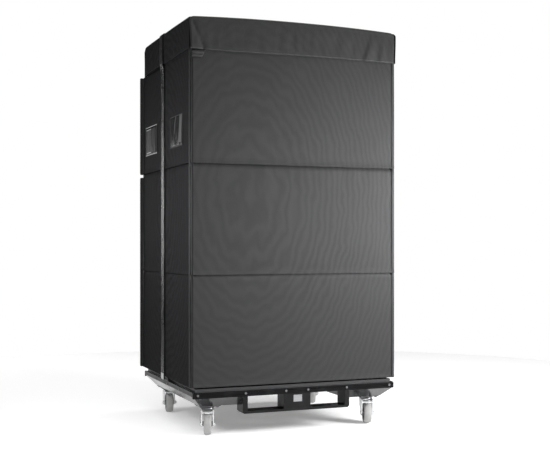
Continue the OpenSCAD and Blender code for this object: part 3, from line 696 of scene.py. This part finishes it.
line = [strap_mesh.verts.new((x, strap_mid - strap_wide / 2, z)) for x, z in strap_path + mirrored]
run = [strap_mesh.edges.new(pair) for pair in zip(line, line[1:])]
for _ in range(8):
    grown = bmesh.ops.extrude_edge_only(strap_mesh, edges=run)["geom"]
    run = [e for e in grown if isinstance(e, bmesh.types.BMEdge) and e.is_boundary]
    front_line = [v for v in grown if isinstance(v, bmesh.types.BMVert)]
    run = [e for e in run if all(v in front_line for v in e.verts)]
    bmesh.ops.translate(strap_mesh, vec=(0, strap_wide / 8, 0), verts=front_line)
bmesh.ops.recalc_face_normals(strap_mesh, faces=strap_mesh.faces)
strap = add_piece("lid_strap_webbing", strap_mesh, "lid", webbing, ["lid_strap"])
thicken(strap, 0.0026, 0)

hook_steel, _, _ = finish("hook_steel", Base_Color=(0.45, 0.45, 0.46, 1), Metallic=1.0, Roughness=0.32)
for side, word in ((-1, "left"), (1, "right")):
    bm = bmesh.new()
    box = bmesh.ops.create_cube(bm, size=1)["verts"]
    bmesh.ops.scale(bm, vec=(0.0022, 0.046, 0.030), verts=box)
    faces = [f for f in bm.faces if abs(f.normal.x) > 0.9]
    bmesh.ops.inset_individual(bm, faces=faces, thickness=0.006, depth=-0.0004)
    bmesh.ops.bevel(bm, geom=bm.edges[:], offset=0.0005, affect="EDGES", segments=2, profile=0.5, material=-1)
    bmesh.ops.translate(bm, vec=(side * (strap_out + 0.0026), strap_mid, strap_lo.z + 0.017), verts=bm.verts)
    add_piece(f"strap_hook_{word}", bm, "lid", hook_steel, smooth=False)


# ---------------------------------------------------------------- document pockets
# Two clear pockets for papers are sewn to the left wall, one on each side of the strap. The front one is
# empty, and painted highlights run along two upright folds in its film. A blank card lies in the rear one; it
# is lighter over its rear half, with two light lines along the top and the bottom there. The rear pocket's
# binding carries a painted highlight along the top and the bottom.
pocket_low, pocket_high = 1.3325, 1.4800
pocket_front = (-0.314, -0.108)
pocket_rear = (0.140, 0.354)
film, film_shader, start = finish("clear_film", Roughness=0.24, Specular_IOR_Level=0.006)
place = start.add("TexCoord", out=3)
film_y = start.add("SeparateXYZ", {}, {0: place}, 1)
film_z = start.add("SeparateXYZ", {}, {0: place}, 2) - pocket_low
upright_creases = start.add("Mapping", {}, {"Vector": place, "Scale": (1, 14, 4.5)})
scuff = start.add("TexNoise", {}, {"Vector": upright_creases, "Scale": 1.6, "Detail": 3.0, "Distortion": 0.6})
# Painted highlight: the film is lightened along two upright folds to stand for the light they catch, and
# faint random scuffs are added.
from_long = film_y - (pocket_front[0] + 0.041) + 0.10 * film_z
from_short = film_y - (pocket_front[0] + 0.150) + 0.28 * film_z
long_fold_highlight = ranged(from_long.math("ABSOLUTE", from_long), 0.026, 0.015) * (film_z > 0.018)
short_fold_highlight = ranged(from_short.math("ABSOLUTE", from_short), 0.009, 0.003) * (film_z > 0.065)
fold_highlight_and_scuff = 0.60 * long_fold_highlight + 0.45 * short_fold_highlight + 0.16 * scuff
feed(film_shader, "Base Color", mixed(fold_highlight_and_scuff, (0.006, 0.006, 0.0065), (0.100, 0.100, 0.102)))
feed(film_shader, "Normal", start.add("Bump", {}, {"Strength": 0.4, "Distance": 0.003, "Height": scuff}))
card, card_shader, start = finish("card", Specular_IOR_Level=0.02)
place = start.add("TexCoord", out=3)
grain = start.add("TexNoise", {}, {"Vector": place, "Scale": 30.0, "Detail": 3.0})
card_y = start.add("SeparateXYZ", {}, {0: place}, 1)
card_z = start.add("SeparateXYZ", {}, {0: place}, 2)
# The card is lighter over its rear half, and two light lines run along its top and bottom there.
rear_half = card_y > 0.245
upper_line = start.math("COMPARE", card_z, pocket_high - 0.016, 0.0022)
lower_line = start.math("COMPARE", card_z, pocket_low + 0.013, 0.0022)
light_lines = upper_line + lower_line
paleness = ranged(0.05 * grain + 0.06 * rear_half + 0.8 * light_lines * rear_half, 0, 1)
feed(card_shader, "Base Color", mixed(paleness, (0.014, 0.014, 0.014), (0.300, 0.300, 0.300)))
feed(card_shader, "Roughness", 0.4 + 0.2 * grain)
binding, binding_shader, start = finish("pocket_binding", Roughness=0.6, Specular_IOR_Level=0.05)
tape_z = start.add("SeparateXYZ", {}, {0: start.add("TexCoord", out=3)}, 2)
pocket_mid = (pocket_low + pocket_high) / 2
# Painted highlight: the top and bottom tapes of the binding are painted light, where they would catch the
# overhead light; the upright tapes keep the dark colour.
upright_tape_no_highlight = start.math("COMPARE", tape_z, pocket_mid, (pocket_high - pocket_low) / 2 - 0.0048)
feed(binding_shader, "Base Color", mixed(upright_tape_no_highlight, (0.250, 0.250, 0.250), (0.050, 0.050, 0.050)))
dark_grey = (0.045, 0.045, 0.045, 1)
dark_binding, dark_shader, _ = finish("pocket_binding_dark", Base_Color=dark_grey, Roughness=0.7)
dark_shader.inputs["Specular IOR Level"].default_value = 0.02


def pocket_sheet(name, y0, y1, z0, z1, out, puff, material, seed):
    """A thin sheet in the pocket, a little puffed and buckled."""
    bm = bmesh.new()
    bmesh.ops.create_grid(bm, x_segments=40, y_segments=30, size=0.5)
    for vert in bm.verts:
        u, v = vert.co.x, vert.co.y
        dome = puff * (1 - (2 * u) ** 4) * (1 - (2 * v) ** 4)
        dome *= 0.6 + 1.3 * ripple(u * 0.6, v * 0.07, seed, 0.05)
        vert.co = (u * (y1 - y0), (z0 + z1) / 2 + v * (z1 - z0), dome)
    upright(bm, -math.pi / 2, half_x + out, -(y0 + y1) / 2)
    sheet = add_piece(name, bm, "cover", material)
    thicken(sheet, 0.0006)
    y1 - y0
    z1 - z0


def pocket_frame(name, y0, y1, z0, z1, wide, material):
    """The narrow binding round a pocket."""
    bm = bmesh.new()
    bmesh.ops.create_grid(bm, x_segments=1, y_segments=1, size=0.5)
    bmesh.ops.scale(bm, vec=(y1 - y0, z1 - z0, 1), verts=bm.verts)
    bmesh.ops.inset_region(bm, faces=bm.faces[:], thickness=wide, use_boundary=True, use_even_offset=True)
    inner = [f for f in bm.faces if all(not e.is_boundary for e in f.edges)]
    bmesh.ops.delete(bm, geom=inner, context="FACES")
    bmesh.ops.solidify(bm, geom=bm.faces[:], thickness=0.0016)
    bmesh.ops.bevel(bm, geom=bm.edges[:], offset=0.0004, affect="EDGES", segments=2, profile=0.5, material=-1)
    bmesh.ops.recalc_face_normals(bm, faces=bm.faces)
    bmesh.ops.translate(bm, vec=(0, (z0 + z1) / 2, 0), verts=bm.verts)
    upright(bm, -math.pi / 2, half_x + 0.0060, -(y0 + y1) / 2)
    add_piece(name, bm, "cover", material, smooth=False)


for word, (y0, y1), wide, edging in (
    ("front", pocket_front, 0.0034, dark_binding),
    ("rear", pocket_rear, 0.0042, binding),
):
    pocket_frame(f"pocket_binding_{word}", y0, y1, pocket_low, pocket_high, wide, edging)
    low, high = pocket_low + 0.003, pocket_high - 0.003
    pocket_sheet(f"pocket_film_{word}", y0 + 0.003, y1 - 0.003, low, high, 0.0054, 0.002, film, 81)
card_lo, card_hi = pocket_rear[0] + 0.014, pocket_rear[1] - 0.016
low, high = pocket_low + 0.010, pocket_high - 0.012
pocket_sheet("pocket_card", card_lo, card_hi, low, high, 0.0070, 0.002, card, 84)


# ---------------------------------------------------------------- cart frame
# The cart is folded and welded from three millimetre sheet, with rails screwed to its rim, all powder coated
# in a glossy black that mirrors the floor in the sloped faces.
def coat_edges(node, width, segments=2, angle=35):
    """Closes a CAD node's loose triangles and rounds its edges as a press or a brush leaves them."""
    piece = frame["nodes"][node]
    weld = piece.modifiers.new("weld", "WELD")
    weld.merge_threshold = 0.00002
    round_off = piece.modifiers.new("edges", "BEVEL")
    round_off.width = width
    round_off.segments = segments
    round_off.limit_method = "ANGLE"
    round_off.angle_limit = math.radians(angle)
    round_off.harden_normals = False
    return piece


def dress(node, material):
    piece = frame["nodes"][node]
    piece.data.materials.clear()
    piece.data.materials.append(material)
    return piece


def powder_coat(name, colour, rough, level, grain=0.25):
    """Baked powder coat: a fine orange peel, and dull scuffs where it is handled."""
    material, shader, start = finish(name, Specular_IOR_Level=level)
    place = start.add("TexCoord", out=3)
    peel = start.add("TexNoise", {}, {"Vector": place, "Scale": 420.0, "Detail": 1.0})
    wear = start.add("TexNoise", {}, {"Vector": place, "Scale": 11.0, "Detail": 5.0, "Roughness": 0.65})
    scuffs = ranged(wear, 0.52, 0.72)
    feed(shader, "Base Color", mixed(0.5 * scuffs, colour, tuple(2.2 * c + 0.01 for c in colour)))
    feed(shader, "Roughness", rough + 0.14 * scuffs)
    feed(shader, "Normal", start.add("Bump", {}, {"Strength": grain, "Distance": 0.0004, "Height": peel}))
    return material


cart_black = powder_coat("cart_black", (0.012, 0.012, 0.013), 0.16, 1.0)
rail_black = powder_coat("rail_black", (0.004, 0.004, 0.0045), 0.30, 0.10)
for node, coat in (
    ("chassis_pan", cart_black),
    ("cross_members", cart_black),
    ("front_rail", rail_black),
    ("rear_rail", rail_black),
    ("left_rail", rail_black),
    ("right_rail", rail_black),
):
    dress(node, coat)
    coat_edges(node, 0.0010)
guide_black = powder_coat("guide_black", (0.006, 0.006, 0.0065), 0.34, 0.16)
for node in ("front_fork_guide", "rear_fork_guide", "stack_brackets"):
    dress(node, guide_black)
    coat_edges(node, 0.0012)


# ---------------------------------------------------------------- deck
# The deck is a phenolic faced plywood board in an extruded edge trim of dark anodised aluminium, with a
# shallow groove along it.
deck_lo, deck_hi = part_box("deck_board")
ply, ply_shader, start = finish("phenolic_ply", Specular_IOR_Level=0.6)
place = start.add("TexCoord", out=3)
mesh_print = start.add("TexVoronoi", {"feature": "DISTANCE_TO_EDGE"}, {"Vector": place, "Scale": 380.0})
feed(ply_shader, "Base Color", mixed(mesh_print, (0.035, 0.026, 0.020), (0.020, 0.016, 0.013)))
feed(ply_shader, "Roughness", 0.42 + 0.1 * mesh_print)
feed(ply_shader, "Normal", start.add("Bump", {}, {"Strength": 0.3, "Distance": 0.0003, "Height": mesh_print}))
dress("deck_board", ply)
coat_edges("deck_board", 0.001)
trim, trim_shader, start = finish("deck_trim", Base_Color=(0.045, 0.045, 0.047, 1), Metallic=0.4)
draw = start.add("Mapping", {}, {"Vector": start.add("TexCoord", out=3), "Scale": (2, 2, 900)})
streak = start.add("TexNoise", {}, {"Vector": draw, "Scale": 3.0, "Detail": 2.0})
feed(trim_shader, "Roughness", 0.28 + 0.16 * streak)
trim_profile = [(-0.004, 0.0), (0.0022, 0.0002), (0.0026, 0.0010), (0.0026, 0.0052), (0.0012, 0.0062)]
trim_profile += [(0.0012, 0.0112), (0.0026, 0.0122), (0.0026, 0.0168), (0.0020, 0.0176), (-0.004, 0.0178)]
bm = bmesh.new()
half_deck = ((deck_hi.x - deck_lo.x) / 2, (deck_hi.y - deck_lo.y) / 2)
deck_mid = (deck_hi + deck_lo) / 2
rings = []
for out, up in trim_profile:
    ring = bmesh.ops.create_circle(bm, cap_ends=False, radius=1, segments=4)["verts"]
    corners = ((1, 1), (-1, 1), (-1, -1), (1, -1))
    for vert, (i, j) in zip(ring, corners):
        x = deck_mid.x + i * (half_deck[0] + out)
        vert.co = (x, deck_mid.y + j * (half_deck[1] + out), deck_lo.z + up)
    rings.append([e for e in bm.edges if all(v in ring for v in e.verts)])
for one, two in zip(rings, rings[1:]):
    bmesh.ops.bridge_loops(bm, edges=one + two)
bmesh.ops.bridge_loops(bm, edges=rings[0] + rings[-1])
bmesh.ops.recalc_face_normals(bm, faces=bm.faces)
add_piece("deck_trim", bm, "cart", trim, smooth=False)


# ---------------------------------------------------------------- screws, anchors and plate
# Zinc plated button screws hold the rails, and the castors are bolted through the pan. The blank plate is
# brushed aluminium with four rivets.
def plated(name, colour, rough):
    """Zinc plate: metal with faint cloudy patches."""
    material, shader, start = finish(name, Metallic=0.75)
    place = start.add("TexCoord", out=3)
    bloom = start.add("TexNoise", {}, {"Vector": place, "Scale": 45.0, "Detail": 4.0})
    feed(shader, "Base Color", mixed(bloom, tuple(0.72 * c for c in colour), colour))
    feed(shader, "Roughness", rough - 0.06 + 0.16 * bloom)
    return material


bolt_zinc = plated("bolt_zinc", (0.16, 0.16, 0.165), 0.42)
for node in ("cart_bolts", "strap_anchors"):
    dress(node, bolt_zinc)
    coat_edges(node, 0.0006)
dull_zinc = plated("dull_zinc", (0.16, 0.16, 0.165), 0.45)
dress("castor_plates", dull_zinc)
coat_edges("castor_plates", 0.0008)
bright_zinc = plated("bright_zinc", (0.74, 0.75, 0.76), 0.28)

plate_lo, plate_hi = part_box("identity_plate")
brushed, brushed_shader, start = finish("brushed_plate", Metallic=0.35)
drawn = start.add("Mapping", {}, {"Vector": start.add("TexCoord", out=3), "Scale": (30, 1, 1800)})
streak = start.add("TexNoise", {}, {"Vector": drawn, "Scale": 1.0, "Detail": 3.0})
feed(brushed_shader, "Base Color", mixed(streak, (0.22, 0.22, 0.23), (0.34, 0.34, 0.35)))
feed(brushed_shader, "Roughness", 0.30 + 0.2 * streak)
bm = bmesh.new()
box = bmesh.ops.create_cube(bm, size=1)["verts"]
size = plate_hi - plate_lo
bmesh.ops.scale(bm, vec=(size.x, 0.0010, size.z), verts=box)
face = [f for f in bm.faces if f.normal.y < -0.9]
bmesh.ops.inset_region(bm, faces=face, thickness=0.0022, depth=0.0)
bmesh.ops.inset_region(bm, faces=face, thickness=0.0006, depth=-0.0004)
plate_place = ((plate_lo.x + plate_hi.x) / 2, plate_hi.y - 0.0005, (plate_lo.z + plate_hi.z) / 2)
bmesh.ops.translate(bm, vec=plate_place, verts=bm.verts)
for i in (-1, 1):
    for j in (-1, 1):
        head = bmesh.ops.create_uvsphere(bm, u_segments=10, v_segments=6, radius=0.0013)["verts"]
        where = (plate_lo + plate_hi) / 2 + Vector((i * (size.x / 2 - 0.0045), 0, j * (size.z / 2 - 0.0045)))
        bmesh.ops.translate(bm, vec=(where.x, plate_hi.y - 0.0010, where.z), verts=head)
add_piece("blank_plate", bm, "cart", brushed, ["identity_plate"], smooth=False)


# ---------------------------------------------------------------- castors
# Four swivel castors in bright zinc plated steel. Each wheel is a grey polyamide centre with a moulded grey
# rubber tyre, and a tread pedal over it works the total lock.
hub_grey, hub_shader, start = finish("hub_polyamide", Specular_IOR_Level=0.5)
tint = start.add("TexNoise", {}, {"Vector": start.add("TexCoord", out=3), "Scale": 60.0, "Detail": 3.0})
feed(hub_shader, "Base Color", mixed(tint, (0.16, 0.16, 0.165), (0.24, 0.24, 0.245)))
feed(hub_shader, "Roughness", 0.4 + 0.15 * tint)
tyre_grey, tyre_shader, start = finish("tyre_rubber", Specular_IOR_Level=0.35)
dust = start.add("TexNoise", {}, {"Vector": start.add("TexCoord", out=3), "Scale": 90.0, "Detail": 5.0})
feed(tyre_shader, "Base Color", mixed(dust, (0.29, 0.29, 0.29), (0.40, 0.40, 0.39)))
feed(tyre_shader, "Roughness", 0.62 + 0.2 * dust)
feed(tyre_shader, "Normal", start.add("Bump", {}, {"Strength": 0.25, "Distance": 0.0003, "Height": dust}))
swivels = {}
for joint in frame["joints"]:
    if joint["name"].startswith("swivel"):
        swivels[joint["name"][-2:]] = joint["pos_m"]


def wheel_turned(bm, profile, segments):
    """Spins a profile of (radius, place along the axle) round the axle, which is x."""
    points = [bm.verts.new((along, 0, radius)) for radius, along in profile]
    edges = [bm.edges.new(pair) for pair in zip(points, points[1:] + points[:1])]
    bmesh.ops.spin(
        bm, geom=points + edges, cent=(0, 0, 0), axis=(1, 0, 0), dvec=(0, 0, 0),
        angle=2 * math.pi, steps=segments, use_merge=True, use_duplicate=False,
    )
    bmesh.ops.remove_doubles(bm, verts=bm.verts, dist=1e-6)
    bmesh.ops.recalc_face_normals(bm, faces=bm.faces)


for corner, pivot in swivels.items():
    tyre_lo, tyre_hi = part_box(f"castor_tyre_{corner}")
    axle = (tyre_lo + tyre_hi) / 2
    radius = (tyre_hi.z - tyre_lo.z) / 2
    heading = math.atan2(axle.y - pivot[1], axle.x - pivot[0]) + math.pi / 2
    place = Matrix.Translation(axle) @ Matrix.Rotation(heading, 4, "Z")
    bm = bmesh.new()
    tread = [(radius - 0.018, -0.0150), (radius - 0.0165, -0.0178), (radius - 0.0055, -0.0180)]
    for k in range(9):
        bend = math.pi * k / 8
        along = -0.0128 * math.cos(bend) - 0.0052 * math.cos(bend)
        tread.append((radius - 0.0052 + 0.0052 * math.sin(bend), along))
    tread += [(radius - 0.0055, 0.0180), (radius - 0.0165, 0.0178), (radius - 0.018, 0.0150)]
    wheel_turned(bm, tread, 64)
    bmesh.ops.transform(bm, matrix=place, verts=bm.verts)
    add_piece(f"tyre_{corner}", bm, f"wheel_{corner}", tyre_grey, [f"castor_tyre_{corner}"])
    bm = bmesh.new()
    half_hub = [(0.0052, 0.0232), (0.0108, 0.0232), (0.0118, 0.0222), (0.0122, 0.0100), (0.0150, 0.0082)]
    half_hub += [(0.0255, 0.0082), (0.0278, 0.0100), (0.0284, 0.0148), (0.0318, 0.0150)]
    wheel_turned(bm, half_hub + [(r, -a) for r, a in reversed(half_hub)], 48)
    for face in (1, -1):
        for k in range(6):
            rib = bmesh.ops.create_cube(bm, size=1)["verts"]
            bmesh.ops.scale(bm, vec=(0.0050, 0.0034, 0.0165), verts=rib)
            bmesh.ops.translate(bm, vec=(face * 0.0098, 0, 0.0200), verts=rib)
            bmesh.ops.rotate(bm, cent=(0, 0, 0), matrix=Matrix.Rotation(k * math.pi / 3, 3, "X"), verts=rib)
    bmesh.ops.transform(bm, matrix=place, verts=bm.verts)
    cored = [f"castor_wheel_{corner}"]
    add_piece(f"hub_{corner}", bm, f"wheel_{corner}", hub_grey, cored, smooth=False)
    for node, width in (("castor_fork", 0.0016), ("castor_axle", 0.0007), ("brake_pedal", 0.0011)):
        dress(f"{node}_{corner}", bright_zinc)
        coat_edges(f"{node}_{corner}", width)


# ---------------------------------------------------------------- cabinets
# Three birch ply cabinets with a textured polyurea coat. Each has a perforated steel grille over the cones
# and the waveguide, and connector plates in black anodised aluminium at the rear.
coat, coat_shader, start = finish("cabinet_coat", Specular_IOR_Level=0.5)
place = start.add("TexCoord", out=3)
pebble = start.add("TexVoronoi", {}, {"Vector": place, "Scale": 520.0})
scrape = start.add("TexNoise", {}, {"Vector": place, "Scale": 8.0, "Detail": 6.0, "Roughness": 0.7})
scraped = ranged(scrape, 0.5, 0.75)
feed(coat_shader, "Base Color", mixed(scraped, (0.020, 0.020, 0.021), (0.060, 0.060, 0.062)))
feed(coat_shader, "Roughness", 0.52 + 0.2 * pebble)
feed(coat_shader, "Normal", start.add("Bump", {}, {"Strength": 0.5, "Distance": 0.0006, "Height": pebble}))
rigging_coat = powder_coat("rigging_coat", (0.045, 0.045, 0.047), 0.38, 0.5)
cone, cone_shader, start = finish("cone_paper", Specular_IOR_Level=0.4)
fibre = start.add("TexNoise", {}, {"Vector": start.add("TexCoord", out=3), "Scale": 300.0, "Detail": 4.0})
feed(cone_shader, "Base Color", mixed(fibre, (0.014, 0.014, 0.015), (0.035, 0.035, 0.036)))
feed(cone_shader, "Roughness", 0.55 + 0.25 * fibre)
horn_plastic = powder_coat("horn_plastic", (0.014, 0.014, 0.015), 0.40, 0.5)
anodised = powder_coat("anodised", (0.030, 0.030, 0.032), 0.30, 0.7)
grille_steel, grille_shader, start = finish("grille_steel", Roughness=0.45, Metallic=0.2)
grille_steel.surface_render_method = "DITHERED"
spots = start.add("SeparateXYZ", {}, {0: start.add("TexCoord", out=3)}, 0)
height = start.add("SeparateXYZ", {}, {0: start.add("TexCoord", out=3)}, 2)
pitch = 0.0075
row_rise = pitch * 0.866
from_column = start.math("PINGPONG", spots, pitch / 2)
from_row = start.math("PINGPONG", height, row_rise)
rows = start.add("CombineXYZ", {}, {0: from_column, 1: from_row})
lone = start.add("VectorMath", {"operation": "LENGTH"}, {0: rows}, 1)
offset_rows = start.add("CombineXYZ", {}, {0: pitch / 2 - from_column, 1: row_rise - from_row})
second = start.add("VectorMath", {"operation": "LENGTH"}, {0: offset_rows}, 1)
hole = start.math("MINIMUM", lone, second) < 0.0029
feed(grille_shader, "Alpha", 1 - hole)
feed(grille_shader, "Base Color", mixed(hole, (0.022, 0.022, 0.023), (0.004, 0.004, 0.004)))
for level in ("low", "mid", "top"):
    dress(f"cabinet_{level}", coat)
    coat_edges(f"cabinet_{level}", 0.003)
    dress(f"grille_{level}", grille_steel)
    dress(f"rigging_{level}", rigging_coat)
    coat_edges(f"rigging_{level}", 0.0012)
    dress(f"woofers_{level}", cone)
    dress(f"horn_{level}", horn_plastic)
    dress(f"rear_panel_{level}", anodised)
    coat_edges(f"rear_panel_{level}", 0.0008)
dress("flying_frame", rigging_coat)
coat_edges("flying_frame", 0.0015)
dress("splay_links", bright_zinc)
coat_edges("splay_links", 0.0010)
